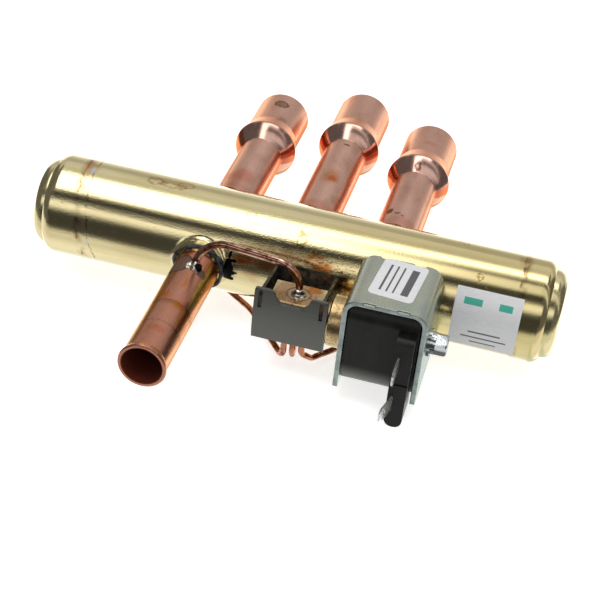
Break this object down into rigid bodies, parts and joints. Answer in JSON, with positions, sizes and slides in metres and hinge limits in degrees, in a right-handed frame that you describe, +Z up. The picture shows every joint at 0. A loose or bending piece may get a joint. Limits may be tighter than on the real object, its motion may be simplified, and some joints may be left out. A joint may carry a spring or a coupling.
{
  "type": "four-way reversing valve",
  "caption": "Pilot-operated four-way reversing valve with a solenoid coil, for a heat pump's refrigerant circuit; a sliding cup joins the middle rear tube to one of its neighbours.",
  "frame": {"origin": "centre of the mouth of the middle rear tube, the suction socket", "axes": "+X along the valve body towards the coil's screw end; +Y out of the suction socket, the way the pipe leaves; +Z up, square to both"},
  "size_m": [0.219, 0.2159, 0.0498],
  "materials": {
    "body_brass": "satin, drawn lengthways",
    "copper": "satin copper with heat tint",
    "solder": "bright braze metal",
    "inner_brass": "machined",
    "inner_steel": "satin",
    "iron": "turned",
    "stainless": "drawn",
    "slide_plastic": "moulded",
    "cup_plastic": "smooth",
    "bracket_steel": "blackened by flux",
    "clamp_steel": "matt gray",
    "zinc_steel": "zinc plated",
    "tinned_brass": "tinned",
    "coil_black": "satin black moulding",
    "label_foil": "satin foil"
  },
  "bodies": {
    "valve_body": {"body_tube": "body_brass", "left_end_cap": "body_brass", "right_end_cap": "body_brass", "pilot_body": "body_brass", "left_stub": "copper", "suction_stub": "copper", "right_stub": "copper", "discharge_tube": "copper", "discharge_capillary": "copper", "suction_capillary": "copper", "left_capillary": "copper", "right_capillary": "copper", "coil_winding": "copper", "winding_leads": "copper", "braze_fillets": "solder", "valve_seat": "inner_brass", "pilot_seat": "inner_brass", "return_spring": "inner_steel", "fixed_core": "iron", "enclosing_tube": "stainless", "pilot_bracket": "bracket_steel", "clamp_plate": "clamp_steel", "coil_frame": "zinc_steel", "coil_screw": "zinc_steel", "screw_washer": "zinc_steel", "lock_washer": "zinc_steel", "upper_terminal": "tinned_brass", "lower_terminal": "tinned_brass", "coil": "coil_black", "coil_label": "label_foil", "body_label": "label_foil"},
    "shuttle": {"main_slide": "slide_plastic", "piston_bridge": "inner_steel", "bridge_screws": "inner_steel", "piston_rivets": "inner_brass", "left_piston": "inner_brass", "right_piston": "inner_brass", "left_piston_cup": "cup_plastic", "right_piston_cup": "cup_plastic", "left_cup_spring": "inner_steel", "right_cup_spring": "inner_steel", "left_retainer": "inner_steel", "right_retainer": "inner_steel"},
    "armature": {"plunger": "iron", "pilot_carrier": "inner_brass", "slide_leaf": "inner_steel", "pilot_slide": "slide_plastic"}
  },
  "joints": [
    {"name": "shuttle_slide", "type": "slide", "parent": "valve_body", "child": "shuttle", "axis": [1, 0, 0], "range_m": [0, 0.0353]},
    {"name": "plunger_slide", "type": "slide", "parent": "valve_body", "child": "armature", "axis": [1, 0, 0], "range_m": [0, 0.0036], "stiffness_N_per_m": 300, "springref_m": -0.01, "deforming": ["return_spring"]}
  ]
}
